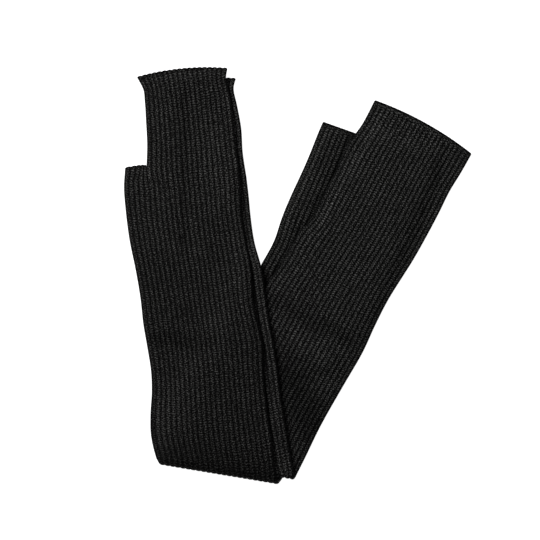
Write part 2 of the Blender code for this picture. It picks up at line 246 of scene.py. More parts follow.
INNER_ARM_RUN = (
    # seam_x, seam_y, far_x, far_y, bow
    (-96.0, -146.0, 6.0, -166.3, 0.0),
    (-79.0, -111.5, 20.3, -136.7, 0.0),
    (-58.0, -69.5, 41.4, -99.3, 0.0),
    (-40.0, -33.5, 59.7, -67.5, 0.0),
    (-27.0, -9.0, 70.0, -45.0, 0.0),
    (-11.0, 14.0, 81.5, -22.5, 0.0),
    (3.0, 39.0, 95.5, 0.0, 0.0),
    (14.0, 51.0, 102.8, 11.5, 0.0),
    (25.5, 74.0, 114.8, 32.5, 0.0),
    (37.5, 97.5, 127.3, 56.0, 0.0),
    (48.0, 119.5, 137.5, 76.5, 0.0),
    (59.6, 136.0, 147.0, 92.0, 0.0),
    (70.9, 157.6, 157.0, 109.7, 4.2),
)
print("lines across the inner warmer:", len(INNER_HAND_SECTION + INNER_HAND_RUN + INNER_ARM_RUN))

# %% What differs between the two, and the order in which their runs lie
WARMERS = {
    # fold_line is the fold as seen from above, and layers_round_fold the layers that lie in it.
    # hand_ribs and arm_ribs are the ribs that show on each run's upper face. spread_out is how far
    # the soft cloth reaches past the lines of the tables, at the seam edge and at the far edge.
    "outer": dict(
        node="arm_warmer_outer", hand_section=OUTER_HAND_SECTION, hand_run=OUTER_HAND_RUN,
        arm_run=OUTER_ARM_RUN, fold_line=(-126.6, -170.3, -20.6, -187.9), layers_round_fold=3,
        hand_ribs=(0, RIBS), arm_ribs=(0, 9), spread_out=(0.4, 0.4)),
    "inner": dict(
        node="arm_warmer_inner", hand_section=INNER_HAND_SECTION, hand_run=INNER_HAND_RUN,
        arm_run=INNER_ARM_RUN, fold_line=(-107.0, -166.5, -4.0, -184.1), layers_round_fold=1,
        hand_ribs=(15, RIBS), arm_ribs=(0, RIBS), spread_out=(0.3, 1.0)),
}
STACK = (("outer", "arm"), ("inner", "arm"), ("inner", "hand"), ("outer", "hand"))
print("runs from the lowest to the highest:", STACK)

# %% [markdown]
# ## From a few lines to smooth cloth
#
# A smooth curve is read through the rows of a table, so that the cloth's edge swings gently from
# one line to the next. A curve object could do that for one edge. Here it is worked out for whole
# grids of points at once, because a shell has tens of thousands of them. Where one edge of a tube
# has a kink, only the cloth near it follows, and the ribs in the middle run on straight.

# %% Smooth steps, and kinks in an edge
KINK_LENGTH = 45.0     # length along a run over which an edge's general direction is taken
KINK_WIDTH = 0.3       # share of the width over which a kink in an edge dies away


def smooth_step(value):
    """Go smoothly from 0 to 1 while value does."""
    value = np.clip(value, 0.0, 1.0)
    return value * value * (3 - 2 * value)


def edge_kinks(rows, line, stations):
    """Measure how far the two ends of each row stray from the general direction of their edge."""
    kinks = np.zeros((len(rows), 2))
    for i in range(1, len(rows) - 1):
        nearness = np.exp(-((stations - stations[i]) / KINK_LENGTH) ** 2)
        for side, edge in enumerate((rows[:, 0:2], rows[:, 2:4])):
            fit = np.polyfit(stations - stations[i], edge, 1, w=nearness)
            kinks[i, side] = (edge[i] - fit[1]) @ line[i]
    return kinks


print("a smooth step at a quarter, a half and three quarters:", smooth_step([0.25, 0.5, 0.75]))

# %% Read a run between the lines of its table


def make_run(table, spread_out):
    """Prepare a run: its rows, how far along it each row stands, and how fast the rows change."""
    rows = np.array(table, float)
    line = rows[:, 2:4] - rows[:, 0:2]
    line /= np.linalg.norm(line, axis=1, keepdims=True)
    rows[:, 0:2] -= line * spread_out[0]
    rows[:, 2:4] += line * spread_out[1]
    middles = (rows[:, 0:2] + rows[:, 2:4]) / 2
    steps = np.linalg.norm(np.diff(middles, axis=0), axis=1)
    stations = np.concatenate([[0.0], np.cumsum(steps)])
    rows = np.hstack([rows, edge_kinks(rows, line, stations)])
    slopes = np.diff(rows, axis=0) / steps[:, None]
    before, after = steps[:-1, None], steps[1:, None]
    between = (slopes[:-1] * after + slopes[1:] * before) / (before + after)
    return dict(rows=rows, stations=stations, tangents=np.vstack([slopes[:1], between, slopes[-1:]]))


def read_sections(run, at):
    """Give a run's sections at distances along it, one row for each."""
    stations, rows, tangents = run["stations"], run["rows"], run["tangents"]
    at = np.asarray(at, float)
    i = np.clip(np.searchsorted(stations, at, side="right") - 1, 0, len(stations) - 2)
    span = (stations[i + 1] - stations[i])[:, None]
    t = (at - stations[i])[:, None] / span
    return ((2 * t**3 - 3 * t**2 + 1) * rows[i]
            + (t**3 - 2 * t**2 + t) * span * tangents[i]
            + (3 * t**2 - 2 * t**3) * rows[i + 1]
            + (t**3 - t**2) * span * tangents[i + 1])


def across(sections, shares):
    """Give a grid of points, for each section those at each share of the way across."""
    sections = np.atleast_2d(sections)
    seam, far, bow = sections[:, None, 0:2], sections[:, None, 2:4], sections[:, None, 4:5]
    seam_kink, far_kink = sections[:, None, 5:6], sections[:, None, 6:7]
    line = far - seam
    aside = line / np.linalg.norm(line, axis=-1, keepdims=True)
    ahead = np.stack([-aside[..., 1], aside[..., 0]], axis=-1)
    shares = np.asarray(shares, float)[..., None]
    others = 1 - shares
    calmed = seam_kink * (shares - smooth_step(shares / KINK_WIDTH))
    calmed = calmed + far_kink * (others - smooth_step(others / KINK_WIDTH))
    return seam + line * shares + ahead * (bow * 4 * shares * others) + aside * calmed


edges = across(read_sections(make_run(OUTER_HAND_RUN, (0.0, 0.0)), [100.0]), [0.0, 1.0])
print("edges of the outer hand run 100 mm below its top:", edges[0].round(1).tolist())

# %% [markdown]
# ## The fold, the thumb opening and the outlines
#
# The tube goes round the fold as a belt goes round a roller. Its two runs leave the roller at
# different places, because the ribs go round at a slant. Bending a flat tube with a modifier would
# lay them square to the fold, so the fold is worked out with the tube. The corner of the thumb
# opening is pulled towards the seam and a little up, which fans out the five ribs below it.

# %% The pull at the thumb opening
THUMB_PULL = (-2.9, 2.0)     # how far the opening's corner is pulled, in x and y
THUMB_PULL_REACH = 25.0      # length of the hand run below it that follows
THUMB_FAN = (2.6, 0.9)       # how far the ribs beside the opening lean over at its edge
THUMB_FAN_REACH = 16.0


def pull_thumb_corner(points, stations, shares):
    """Move the top of a hand run's points with the corner of the thumb opening."""
    stations = np.asarray(stations)[:, None]
    weight = np.where(shares < THUMB_CORNER, shares / THUMB_CORNER, (1 - shares) / (1 - THUMB_CORNER))
    pull = (1 - smooth_step(stations / THUMB_PULL_REACH)) * weight
    beside = np.sin(math.pi * np.clip(shares / THUMB_CORNER, 0, 1))
    fan = (1 - smooth_step(stations / THUMB_FAN_REACH)) * beside
    return points + pull[..., None] * THUMB_PULL + fan[..., None] * THUMB_FAN


print("the corner of the thumb opening is pulled by", THUMB_PULL, "mm")

# %% Prepare the runs of both warmers
FOLD_LEAN = math.radians(20)
outlines = {}


def run_outline(run, before=(), after=()):
    """Give the outline of a run from above, with the corners beyond its two ends."""
    seam_edge = [*before[:1], *run["rows"][:, 0:2], *after[:1]]
    far_edge = [*before[1:], *run["rows"][:, 2:4], *after[1:]]
    return np.array(seam_edge + far_edge[::-1])


for name, warmer in WARMERS.items():
    seam, far = np.array(warmer["fold_line"][0:2]), np.array(warmer["fold_line"][2:4])
    along = (far - seam) / np.linalg.norm(far - seam)
    warmer["outward"] = np.array([along[1], -along[0]])
    warmer["full_radius"] = warmer["layers_round_fold"] * LAYER / 2
    slide = along * math.pi * warmer["full_radius"] * math.tan(FOLD_LEAN)
    inset = warmer["outward"] * (warmer["full_radius"] + HALF)
    warmer["hand_fold"] = np.array([*(seam - inset), *(far - inset), 0.0])
    warmer["arm_fold"] = np.array([*(seam - inset + slide), *(far - inset + slide), 0.0])
    warmer["hand"] = make_run([*warmer["hand_run"], warmer["hand_fold"]], warmer["spread_out"])
    warmer["arm"] = make_run([warmer["arm_fold"], *warmer["arm_run"]], warmer["spread_out"])
    warmer["hand_fold"] = warmer["hand"]["rows"][-1]
    warmer["arm_fold"] = warmer["arm"]["rows"][0]
    top = read_sections(warmer["hand"], [0.0])
    corner = pull_thumb_corner(across(top, [THUMB_CORNER]), [0.0], np.array([THUMB_CORNER]))[0, 0]
    warmer["section"] = make_run([*warmer["hand_section"], [*corner, *top[0, 2:4], 0.0]], (0.0, 0.0))
    outlines[(name, "hand")] = run_outline(warmer["hand"], after=(seam, far))
    outlines[(name, "arm")] = run_outline(warmer["arm"], before=(seam + slide, far + slide))
    outlines[(name, "section")] = run_outline(warmer["section"])
    print(name, {part: round(warmer[part]["stations"][-1]) for part in ("section", "hand", "arm")}, "mm")

# %% [markdown]
# ## Lying on what is underneath
#
# Cloth over the edge of a lower layer doesn't drop like a step. It stays level for a few
# millimetres past that edge and then comes down in a soft slope. How far each point lies outside
# the outlines of the lower runs says how high it is. Cloth that is dropped in a simulation finds
# such a slope too, but it can settle with two layers cutting into each other.

# %% Height over the floor
LEDGE = 3.0           # an overhanging edge stays level this far out
DROOP_REACH = 18.0    # an overhanging edge is down again this far out
CLIMB_REACH = 38.0    # a hand run that climbs over the arm runs starts this far out
CROSSING = (-60.0, -120.0)   # a place where all four runs lie one on the other


def distance_outside(points, outline):
    """Measure how far each point lies outside a closed outline, 0 inside it."""
    step = np.roll(outline, -1, axis=0) - outline
    offset = points[:, None, :] - outline[None, :, :]
    share = np.clip((offset * step).sum(axis=2) / (step**2).sum(axis=1), 0, 1)
    nearest = np.linalg.norm(offset - share[:, :, None] * step, axis=2).min(axis=1)
    end_y = outline[:, 1] + step[:, 1]
    spans = (outline[:, 1] > points[:, 1:2]) != (end_y > points[:, 1:2])
    rise = np.where(step[:, 1] == 0, 1.0, step[:, 1])
    crossing = outline[:, 0] + (points[:, 1:2] - outline[:, 1]) / rise * step[:, 0]
    inside = (spans & (points[:, 0:1] < crossing)).sum(axis=1) % 2 == 1
    return np.where(inside, 0.0, nearest)


def away_from(points, name, side):
    """Measure how far each point of a grid lies outside one run of a warmer."""
    flat = points.reshape(-1, 2)
    away = distance_outside(flat, outlines[(name, side)])
    if side == "hand":
        away = np.minimum(away, distance_outside(flat, outlines[(name, "section")]))
    return away.reshape(points.shape[:-1])


def lift(name, side, points):
    """Give how high the runs that lie underneath raise each point of a grid."""
    total = np.zeros(points.shape[:-1])
    for lower_name, lower_side in STACK[:STACK.index((name, side))]:
        reach = DROOP_REACH if side == lower_side else CLIMB_REACH
        away = away_from(points, lower_name, lower_side)
        total += LAYER * (1 - smooth_step((away - LEDGE) / (reach - LEDGE)))
    return total


under_top = lift("outer", "hand", np.array([[CROSSING]])).item()
print("height of the highest run's underside where all four cross:", round(under_top, 1), "mm")

# %% [markdown]
# ## Soft folds in the cloth
#
# The tubes are empty, so their upper face stands a little proud between the sides, and it has a few soft
# ridges and troughs. Each is listed: a line on the cloth, its width to either side and its height,
# negative for a trough. They fade out where another layer presses on them.
# They could be sculpted, but in a table each can be changed by itself.

# %% Table of ridges and troughs
FOLDS = {
    ("outer", "hand"): (
        # start_x, start_y, end_x, end_y, width, height
        (-100.0, 166.0, -100.0, 30.0, 5.0, -0.9),
        (-130.0, -62.0, -86.0, -70.0, 7.0, -1.1),
        (-128.0, -76.0, -60.0, -84.0, 11.0, 0.8),
        (-64.0, 130.0, -68.0, 60.0, 12.0, 1.1),
        (-120.0, 66.0, -112.0, 20.0, 9.0, 0.6),
        (-88.0, 20.0, -70.0, -18.0, 7.0, 0.7),
        (-134.0, -10.0, -96.0, -40.0, 9.0, -0.7),
        (-50.0, 20.0, -44.0, -48.0, 5.0, 0.6),
        (-104.0, -96.0, -92.0, -150.0, 12.0, 0.7),
        (-60.0, -104.0, -44.0, -152.0, 9.0, -0.8),
        (-59.0, 95.0, -46.0, -5.0, 4.0, 1.3),
        (-46.0, -5.0, -36.0, -110.0, 4.0, 1.3),
    ),
    ("inner", "arm"): (
        (-12.0, -30.0, 52.0, -64.0, 8.0, -0.9),
        (2.0, -62.0, 30.0, -78.0, 11.0, 1.2),
        (14.0, -94.0, 42.0, -92.0, 9.0, -1.3),
        (46.0, 98.0, 30.0, 62.0, 6.0, 0.8),
        (74.0, 70.0, 96.0, 20.0, 12.0, 0.5),
        (108.0, 96.0, 118.0, 76.0, 9.0, -0.3),
        (24.0, 8.0, 70.0, -26.0, 9.0, 0.5),
        (60.0, 40.0, 84.0, 2.0, 10.0, -0.4),
    ),
    ("outer", "arm"): (
        (-8.0, 46.0, 27.0, 124.0, 7.0, 1.8),
        (12.0, 96.0, 24.0, 116.0, 5.0, 0.6),
    ),
    ("inner", "hand"): (
        (-32.0, 30.0, -24.0, -40.0, 3.0, 0.5),
    ),
}
print("ridges and troughs:", {" ".join(run): len(table) for run, table in FOLDS.items()})

# %% Add up soft lines, and fade them out under a layer
PUFF = 1.3            # how far the empty tube's upper face stands proud
PUFF_REACH = 26.0     # distance from a side over which it rises
PROUD_REACH = PUFF_REACH / 3   # distance from a side over which folds come in
PRESS_REACH = 9.0     # distance from a covering layer over which folds come back


def soft_lines(table, points):
    """Add up a table's soft lines at each point of a grid."""
    total = np.zeros(points.shape[:-1])
    for start_x, start_y, end_x, end_y, width, height in table:
        start, line = np.array([start_x, start_y]), np.array([end_x - start_x, end_y - start_y])
        offset = points - start
        share = np.clip((offset * line).sum(axis=-1) / (line**2).sum(), 0, 1)
        distance = np.linalg.norm(offset - share[..., None] * line, axis=-1)
        total += height * np.exp(-(distance / width) ** 2)
    return total


def freedom(name, side, points):
    """Give 1 where nothing lies on a run and 0 where another run covers it."""
    free = np.ones(points.shape[:-1])
    for upper_name, upper_side in STACK[STACK.index((name, side)) + 1:]:
        free *= smooth_step(away_from(points, upper_name, upper_side) / PRESS_REACH)
    return free


print("how free the outer arm run is where all four cross:",
      freedom("outer", "arm", np.array([[CROSSING]])).item())

# %% [markdown]
# ## Light and shade painted into the cloth
#
# Light and shade on the black wool are painted into its colour. There is painted shade in a groove
# between two ribs, at a mouth, at a tube's side, round the fold, inside the tube and in the narrow space
# beside the edge of a layer, where almost no light comes back out. There are painted highlights along
# the tops of the ribs and along some edges, and a few broad places are painted lighter or darker. The
# chain at the upper arm has no bright ribs. This could be painted on an image. Here it is worked out:
# each point gets a share of light, which the material multiplies with the yarn's colour.

# %% Tables of painted light and shade
PAINTED_CREVICE_SHADE = {
    # for each run: how far the painted shade reaches beside the edge of what lies on it, and the light
    # it takes off
    ("outer", "arm"): (2.1, 0.65),
    ("inner", "arm"): (3.2, 0.5),
    ("inner", "hand"): (2.0, 0.5),
}
# painted light and shade on the upper faces: painted shade along the fold, in troughs, towards the
# bottom, beside the stacked layers and at some sides; painted highlights along some edges and on places
# that face the key light
PAINTED_LIGHT_AND_SHADE_LINES = {
    ("outer", "hand"): (
        # start_x, start_y, end_x, end_y, width, change
        (-131.0, -173.0, -22.0, -190.0, 24.0, -0.58),
        (-140.0, -10.0, -40.0, -120.0, 70.0, -0.12),
        (-72.0, 116.0, -63.0, 64.0, 13.0, 0.25),
        (-120.0, 90.0, -110.0, 40.0, 24.0, 0.1),
        (-100.0, 164.0, -101.0, 26.0, 4.0, -0.3),
        (-132.0, -58.0, -80.0, -62.0, 8.0, -0.25),
        (-131.5, -95.0, -131.5, -152.0, 3.0, -0.85),
        (-126.6, -170.3, -20.6, -187.9, 3.5, 0.25),
        (-62.5, 186.0, -53.0, 97.0, 3.0, 0.9),
        (-27.5, -112.0, -23.0, -150.0, 3.0, 0.9),
    ),
    ("inner", "arm"): (
        (77.0, 144.0, 21.0, 45.0, 1.4, 0.7),
        (-12.0, -84.0, 14.0, -138.0, 20.0, -0.5),
        (-19.0, -24.0, 48.0, -58.0, 7.0, -0.3),
        (2.0, -64.0, 20.0, -74.0, 10.0, 0.15),
    ),
    ("outer", "arm"): (
        (-8.0, 46.0, 27.0, 124.0, 14.0, 0.2),
    ),
    ("inner", "hand"): (
        (-45.0, 150.0, -12.0, -150.0, 14.0, -0.12),
        (-48.0, 31.0, -38.5, -23.0, 2.2, -0.6),
        (-32.0, -60.0, -29.0, -104.0, 2.2, -0.5),
        (-41.2, 30.0, -30.2, -24.0, 1.3, 0.5),
        (-30.2, -24.0, -20.7, -82.0, 1.3, 0.5),
        (-20.7, -82.0, -14.7, -140.0, 1.3, 0.4),
        (-60.0, 178.0, -51.0, 97.0, 2.6, 0.4),
        (-54.5, 176.0, -47.0, 100.0, 1.2, -0.6),
    ),
}
print("lighter and darker lines:", {" ".join(run): len(table) for run, table in PAINTED_LIGHT_AND_SHADE_LINES.items()})

# %% Share of painted light and shade
PAINTED_SIDE_SHADE = 0.9       # painted shade: light taken off at a tube's side, which darkens its edge
SIDE_REACH = 3.2      # distance from the side over which it comes back
PAINTED_MOUTH_SHADE = 0.88     # painted shade at the edge of a mouth
MOUTH_REACH = 1.4
PAINTED_FOLD_SHADE = 0.15      # painted shade where the cloth goes round the fold, most where it faces outwards
PAINTED_GROOVE_SHADE = 0.94    # painted shade at the bottom of a groove between two ribs
GROOVE_SHAPE = 1.85   # higher makes the dark line of a groove narrower
CHAIN_LOSS = 0.22     # on the chain of the bound-off edge
PAINTED_SPINE_HIGHLIGHT = 0.32     # painted highlight: light gained along the top of a rib
SPINE_WIDTH = 0.45    # share of the way down to the groove over which it is gained
PAINTED_INSIDE_LIGHT = 0.3    # painted shade: share of light on the inside of the tube


def painted_light_and_shade(name, side, points, from_side):
    """Give the share of painted light and shade on the upper face of a run at each point of a grid."""
    # painted shade at the tube's sides, then the lines of painted light and shade
    light = 1 - PAINTED_SIDE_SHADE * (1 - smooth_step(from_side * RIB_PITCH / SIDE_REACH))
    light = light * (1 + soft_lines(PAINTED_LIGHT_AND_SHADE_LINES[(name, side)], points))
    # painted shade beside the edge of each layer that lies above
    for upper_name, upper_side in STACK[STACK.index((name, side)) + 1:]:
        reach, loss = PAINTED_CREVICE_SHADE[(name, side)]
        light = light * (1 - loss * np.exp(-(away_from(points, upper_name, upper_side) / reach) ** 2))
    return light


def groove_light(marks, relief):
    """Give the share of light at each place of a rib: painted shade in a groove, a painted highlight
    along the top.
    """
    from_ridge = np.abs(2 * (marks % 1.0) - 1)
    loss = PAINTED_GROOVE_SHADE * from_ridge**GROOVE_SHAPE
    gain = PAINTED_SPINE_HIGHLIGHT * (1 - smooth_step(from_ridge / SPINE_WIDTH))
    return 1 + (gain - loss) * relief / RELIEF


print("light in a groove, halfway up a rib and on its top:",
      groove_light(np.array([0.0, 0.25, 0.5]), RELIEF).round(2).tolist())

# %% [markdown]
# ## The ribs
#
# Places round the tube are counted in ribs: 0 is the seam edge, the front face runs to 23 at the
# far edge, and the back face runs on to 46, which is the seam edge again. A rib is a rounded ridge
# with a narrow groove on either side, so the columns of faces stand closer at the grooves. A bump
# in the material would be less work, but real ribs also show at the cloth's edges and round the
# fold. No two ribs of real knitting are quite alike: they wander a little and differ in height.

# %% Profile of a rib
RIB_STEPS = (0.0, 0.13, 0.3, 0.5, 0.7, 0.87)
RIDGE_SHAPE = 2.5          # higher makes the ridge flatter and the groove narrower
RIDGE_CHANGE = 0.06        # share by which the drop beside a rib differs from rib to rib
WANDER = 0.035             # how far a groove wanders, counted in ribs
WAVES = (47.0, 110.0, 260.0)   # lengths along the run of that wandering
CHANCE_SEED = 7
ring_marks = np.array([rib + step for rib in range(2 * RIBS) for step in RIB_STEPS] + [2.0 * RIBS])
section_marks = ring_marks[(ring_marks >= THUMB_RIBS) & (ring_marks <= 2 * RIBS - THUMB_RIBS)]
chance = np.random.default_rng(CHANCE_SEED)
wave_phases = chance.uniform(0, 2 * math.pi, (len(WAVES), 2 * RIBS + 1))
wave_phases[:, 2 * RIBS - THUMB_RIBS] = wave_phases[:, THUMB_RIBS]   # these two meet at the thumb
ridge_heights = chance.uniform(-RIDGE_CHANGE, RIDGE_CHANGE, 2 * RIBS + 1)


def on_face(marks):
    """Give each place as counted from the seam edge, alike on both faces."""
    return np.minimum(marks, 2 * RIBS - marks)


def wander(marks, at):
    """Give how far each place has wandered sideways, in ribs, at distances along the cloth."""
    low, high = np.floor(marks).astype(int), np.ceil(marks).astype(int)
    total = np.zeros((len(at), len(marks)))
    for wave, phases in zip(WAVES, wave_phases):
        angle = 2 * math.pi * np.asarray(at)[:, None] / wave
        first, second = np.sin(angle + phases[low]), np.sin(angle + phases[high])
        total += first + (second - first) * (marks - low)
    return WANDER * total / math.sqrt(len(WAVES))


def ridge(marks):
    """Give 1 at the top of a rib and 0 in the groove beside it."""
    return 1 - np.abs(2 * (marks % 1.0) - 1) ** RIDGE_SHAPE


print("columns round the tube:", len(ring_marks) - 1)

# %% [markdown]
# ## Places on the cloth
#
# One function gives the points of a grid, for any part of the tube, on its outside or its inside.
# The sides are rounded, and so is the corner where the thumb opening ends and the two faces are joined.
# The upper arm is bound off with a chain of stitches, where the ribs end. Each point has four numbers:
# its place and its share of painted light and shade. A cylinder could be pressed flat instead, but its
# rows would then have to be fitted to the tables one by one.

# %% Shape of the tube across
WALL_TOP = {False: HALF, True: SLIT / 2}   # height over the tube's middle, outside and inside
RIB_BLEND = 1.5        # ribs over which raised ones give way to pressed ones
STRAIGHT_RIBS = 2      # ribs beside a side over which the wandering comes in
SMOOTH_SIDE = 0.4      # ribs beside a side that have no groove, and over which one then comes in


def shares_across(marks, first, width, at, inside):
    """Give the share of the way across for each place, and how far it is from the nearer side."""
    face_marks = on_face(marks)
    from_side = np.minimum(face_marks - first, RIBS - face_marks)
    moved = face_marks + wander(marks, at) * smooth_step(from_side / STRAIGHT_RIBS)
    if inside:
        inset = (WALL * RIBS / width)[:, None]
        moved = np.clip(moved, first + inset, RIBS - inset)
        from_side = np.maximum(from_side - inset, 0)
    return moved / RIBS, from_side


def rounded(distance):
    """Give the height of a rounded side at a distance from it, as a share of full height."""
    reach = np.clip(distance / SIDE_ROUND, 0, 1)
    return np.sqrt(np.maximum(1 - (1 - reach) ** 2, 0))


def cloth_height(marks, from_side, relief, inside):
    """Give the height over the tube's middle, with the ribs on the outside."""
    if inside:
        return WALL_TOP[True] * np.minimum(from_side, 1.0)
    low = np.minimum(np.floor(marks).astype(int), 2 * RIBS)
    away_from_side = smooth_step((from_side - SMOOTH_SIDE) / SMOOTH_SIDE)
    depth = relief * (1 + ridge_heights[low]) * (1 - ridge(marks)) * away_from_side
    top = WALL_TOP[False] - depth
    return top * rounded(from_side * RIB_PITCH)


def shown_relief(marks, shown, turned):
    """Give the depth of the grooves: full on the ribs that show, little on those that are pressed.

    shown holds the first and the last rib of the face that shows. turned is 0 on the hand run,
    where the front face is the upper one, and 1 on the arm run, where it is the back face.
    """
    face_marks = on_face(marks)
    upper = (marks <= RIBS) != bool(turned)
    first = smooth_step((face_marks - shown[0] + RIB_BLEND) / RIB_BLEND) if shown[0] > 0 else 1.0
    last = smooth_step((shown[1] + RIB_BLEND - face_marks) / RIB_BLEND) if shown[1] < RIBS else 1.0
    return PRESSED_RELIEF + (RELIEF - PRESSED_RELIEF) * first * last * upper


wall_top, wall_bottom = cloth_height(np.array([10.5, 11.0]), np.array([10.5, 11.0]), RELIEF, False)
print("thickness of the cloth at a rib and in a groove:",
      round(wall_top - SLIT / 2, 2), round(wall_bottom - SLIT / 2, 2), "mm")

# %% Shape of the tube along its length
CHAIN = 3.6            # width of the bound-off edge
FOLD_BLEND = 25.0      # length before the fold over which the runs are led into it
FOLD_PRESS = 22.0      # length before the fold over which the ribs flatten
FOLD_RELIEF = 0.85     # share of their height that is left there


def fold_radius(name, shares):
    """Give the radius of the fold's middle and the height of its lower side."""
    warmer = WARMERS[name]
    upper = lift(name, "hand", across(warmer["hand_fold"], shares))[0]
    lower = lift(name, "arm", across(warmer["arm_fold"], shares))[0]
    return (upper - lower) / 2, lower


def length_to_fold(name, side, at):
    """Give the length of cloth between each row of points and the fold."""
    if side == "arm":
        return at
    hand_length = WARMERS[name]["hand"]["stations"][-1]
    if side == "hand":
        return hand_length - at
    return hand_length + WARMERS[name]["section"]["stations"][-1] - at


def length_to_mouth(name, side, at, marks):
    """Give how far each place is from the mouth at the end of its own part of the tube."""
    if side == "arm":
        return (WARMERS[name]["arm"]["stations"][-1] - LIP - at)[:, None]
    if side == "section":
        return (at - LIP)[:, None]
    return np.where(on_face(marks) < THUMB_RIBS, at[:, None], MOUTH_REACH)


def run_relief(name, side, marks, to_fold, on_chain):
    """Give the depth of the grooves, which flatten before the fold and end at the chain."""
    warmer = WARMERS[name]
    if side == "arm":
        return shown_relief(marks, warmer["arm_ribs"], True) * (1 - on_chain)
    flattened = (1 - FOLD_RELIEF) * (1 - smooth_step(to_fold / FOLD_PRESS))[:, None]
    return shown_relief(marks, warmer["hand_ribs"], False) * (1 - flattened)


def proud_height(name, side, points, from_side):
    """Give how far the upper face stands proud, from nothing at the sides and under a layer."""
    swell = PUFF * smooth_step(from_side * RIB_PITCH / PUFF_REACH)
    swell = swell + soft_lines(FOLDS[(name, side)], points)
    return swell * smooth_step(from_side * RIB_PITCH / PROUD_REACH) * freedom(name, side, points)


for name in WARMERS:
    middle_radius = fold_radius(name, np.array([0.5]))[0].item()
    print(name, "goes round a fold with a radius of", round(middle_radius, 2), "mm")

# %% Points of the hand section and the runs


def flat_points(name, side, at, marks, inside):
    """Give a grid of points as seen from above, and how far each is from the tube's nearer side."""
    warmer = WARMERS[name]
    first = THUMB_RIBS if side == "section" else 0
    sections = read_sections(warmer[side], at)
    width = np.linalg.norm(sections[:, 2:4] - sections[:, 0:2], axis=1) * RIBS / (RIBS - first)
    before = warmer["section"]["stations"][-1] if side == "hand" else 0.0
    shares, from_side = shares_across(marks, first, width, at + before, inside)
    if side == "section":
        points = across(sections, (shares - THUMB_CORNER) / (1 - THUMB_CORNER))
    else:
        points = across(sections, shares)
    if side == "hand":
        points = pull_thumb_corner(points, at, shares)
    radius, _ = fold_radius(name, np.clip(shares.mean(axis=0), 0, 1))
    blend = 1 - smooth_step(length_to_fold(name, side, at) / FOLD_BLEND)
    slack = (warmer["full_radius"] - radius) * blend[:, None]
    points = points + slack[..., None] * warmer["outward"]
    return points, np.broadcast_to(from_side, points.shape[:-1])


def run_points(name, side, at, marks, inside=False):
    """Give a grid of points on the hand section, the hand run or the arm run of a warmer."""
    at = np.asarray(at, float)
    front = np.where(marks <= RIBS, 1.0, -1.0)
    lying_side, up = ("arm", -front) if side == "arm" else ("hand", front)
    points, from_side = flat_points(name, side, at, marks, inside)
    to_fold = length_to_fold(name, side, at)
    to_mouth = length_to_mouth(name, side, at, marks)
    on_chain = 1 - smooth_step(2 * to_mouth / CHAIN - 1) if side == "arm" else 0.0
    relief = run_relief(name, side, marks, to_fold, on_chain)
    height = cloth_height(marks, from_side, relief, inside) * up
    proud = proud_height(name, lying_side, points, from_side)
    if side == "hand":
        to_corner = np.hypot((on_face(marks) - THUMB_RIBS) * RIB_PITCH, at[:, None])
        height = height * rounded(to_corner)
        proud = proud * smooth_step(to_corner / PROUD_REACH)
    proud = proud * smooth_step(to_fold / FOLD_BLEND)[:, None]
    level = lift(name, lying_side, points) + HALF + height + proud * (up > 0)
    # painted light and shade: at the sides, beside the layers above and along the table's lines; painted
    # shade in the grooves, at the mouths and inside the tube; a painted highlight along the rib tops
    light = np.where(up > 0, painted_light_and_shade(name, lying_side, points, from_side), 1.0)
    light = light * groove_light(marks, relief)
    light = light * (1 - PAINTED_MOUTH_SHADE * (1 - smooth_step(to_mouth / MOUTH_REACH)))
    light = light * (1 - CHAIN_LOSS * on_chain)
    light = np.full(level.shape, PAINTED_INSIDE_LIGHT) if inside else light
    return np.concatenate([points, level[..., None], light[..., None]], axis=-1)


hand_mouth = run_points("outer", "section", [LIP], section_marks)
print("the outer hand mouth lies between", hand_mouth[..., 2].min().round(1),
      "and", hand_mouth[..., 2].max().round(1), "mm above the floor")

# %% Points of the fold


def fold_points(name, angles, marks, inside=False):
    """Give a grid of points round the fold, from its upper side to its lower side."""
    warmer = WARMERS[name]
    turned = np.asarray(angles, float) / math.pi
    width = np.full(len(turned), np.linalg.norm(warmer["hand_fold"][2:4] - warmer["hand_fold"][0:2]))
    before = warmer["section"]["stations"][-1] + warmer["hand"]["stations"][-1]
    shares, from_side = shares_across(marks, 0, width, np.full(len(turned), before), inside)
    sections = (warmer["hand_fold"] * (1 - turned[:, None]) + warmer["arm_fold"] * turned[:, None])
    radius, lower = fold_radius(name, np.clip(shares.mean(axis=0), 0, 1))
    hand_relief = shown_relief(marks, warmer["hand_ribs"], False) * FOLD_RELIEF
    arm_relief = shown_relief(marks, warmer["arm_ribs"], True)
    change = smooth_step(turned * 2 - 1)[:, None]
    relief = hand_relief * (1 - change) + arm_relief * change
    height = cloth_height(marks, from_side, relief, inside) * np.where(marks <= RIBS, 1.0, -1.0)
    reach = radius + height
    sine, cosine = np.sin(angles)[:, None], np.cos(angles)[:, None]
    outward = warmer["full_radius"] - radius + reach * sine
    points = across(sections, shares) + outward[..., None] * warmer["outward"]
    level = HALF + lower + radius + reach * cosine
    # painted light and shade of the upper face carried round the fold; painted shade in the grooves,
    # where the fold faces outwards and inside the tube
    upper_light = painted_light_and_shade(name, "hand", points, np.broadcast_to(from_side, level.shape))
    light = 1 + (upper_light - 1) * (1 - smooth_step(turned)[:, None]) * (marks <= RIBS)
    light = light * groove_light(marks, relief) * (1 - PAINTED_FOLD_SHADE * sine)
    light = np.full(level.shape, PAINTED_INSIDE_LIGHT) if inside else light
    return np.concatenate([points, level[..., None], light[..., None]], axis=-1)


outermost = fold_points("outer", [math.pi / 2], ring_marks)[..., 1].min()
print("lowest y of the outer warmer's fold:", outermost.round(1), "mm")

